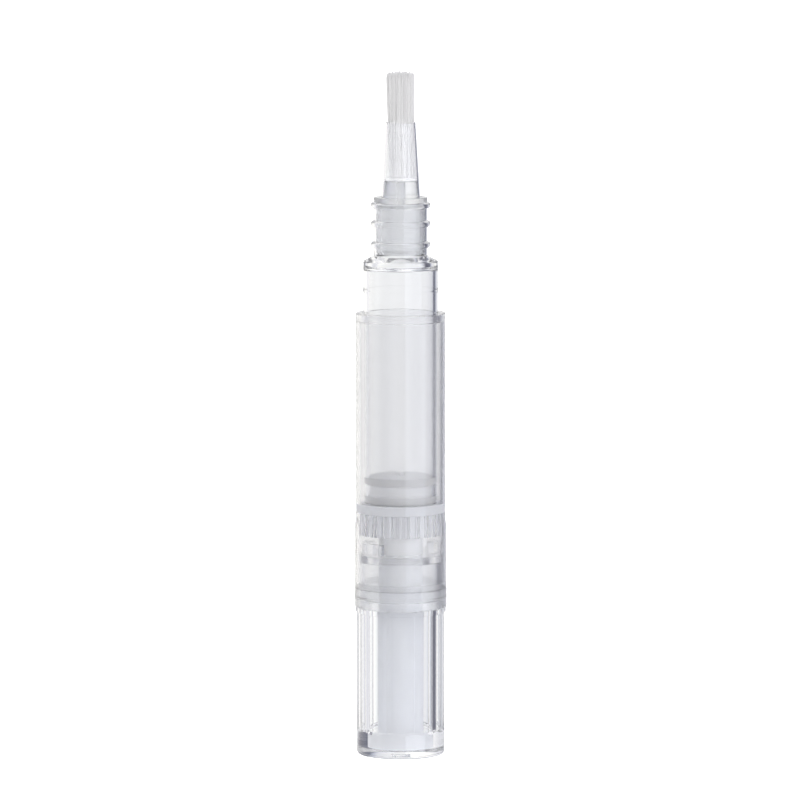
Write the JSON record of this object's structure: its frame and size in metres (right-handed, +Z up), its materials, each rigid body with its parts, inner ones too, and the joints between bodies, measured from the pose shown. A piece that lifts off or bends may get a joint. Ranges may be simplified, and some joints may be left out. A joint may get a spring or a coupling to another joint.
{
  "type": "nail oil pen",
  "caption": "Slim clear twist pen for nail oil: a faceted end knob turns a hidden screw that lifts a piston in a see-through tube and feeds oil to a small flat brush.",
  "frame": {"origin": "centre of the knob's lower face, on the pen's axis", "axes": "+Z up along the pen's axis from the knob to the brush; the front, as in the picture, faces -Y"},
  "size_m": [0.0144, 0.0144, 0.1069],
  "materials": {
    "clear_polished": "clear, polished",
    "clear_inner": "clear, moulded",
    "frosted_barrel": "finely frosted, translucent",
    "frosted_collar": "frosted, translucent",
    "milky_tube": "natural white, satin",
    "milky_nut": "natural, translucent",
    "milky_piston": "natural, soft, translucent",
    "natural_plug": "natural, translucent",
    "white_screw": "white, satin",
    "white_bristle": "white filament"
  },
  "bodies": {
    "pen_body": {"reservoir_tube": "clear_polished", "outer_barrel": "frosted_barrel", "lock_collar": "frosted_collar", "feed_nut": "milky_nut"},
    "brush_head": {"brush_plug": "natural_plug", "brush_ferrule": "clear_polished", "bristle_tuft": "white_bristle"},
    "knob": {"twist_knob": "clear_polished", "drive_tube": "milky_tube", "click_ring": "clear_inner"},
    "screw": {"lead_screw": "white_screw"},
    "piston": {"piston": "milky_piston"}
  },
  "joints": [
    {"name": "knob_turn", "type": "hinge", "parent": "pen_body", "child": "knob", "pos_m": [0, 0, 0], "axis": [0, 0, 1], "range_deg": [0, 3600], "deforming": ["click_ring"]},
    {"name": "screw_feed", "type": "slide", "parent": "knob", "child": "screw", "axis": [0, 0, 1], "range_m": [0, 0.03001]},
    {"name": "piston_feed", "type": "slide", "parent": "pen_body", "child": "piston", "axis": [0, 0, 1], "range_m": [0, 0.03001]},
    {"name": "brush_pull", "type": "slide", "parent": "pen_body", "child": "brush_head", "axis": [0, 0, 1], "range_m": [0, 0.02]}
  ],
  "couplings": [
    {"joint": "screw_feed", "follows": "knob_turn", "m_per_rad": 0.00047746},
    {"joint": "piston_feed", "follows": "knob_turn", "m_per_rad": 0.00047746}
  ]
}
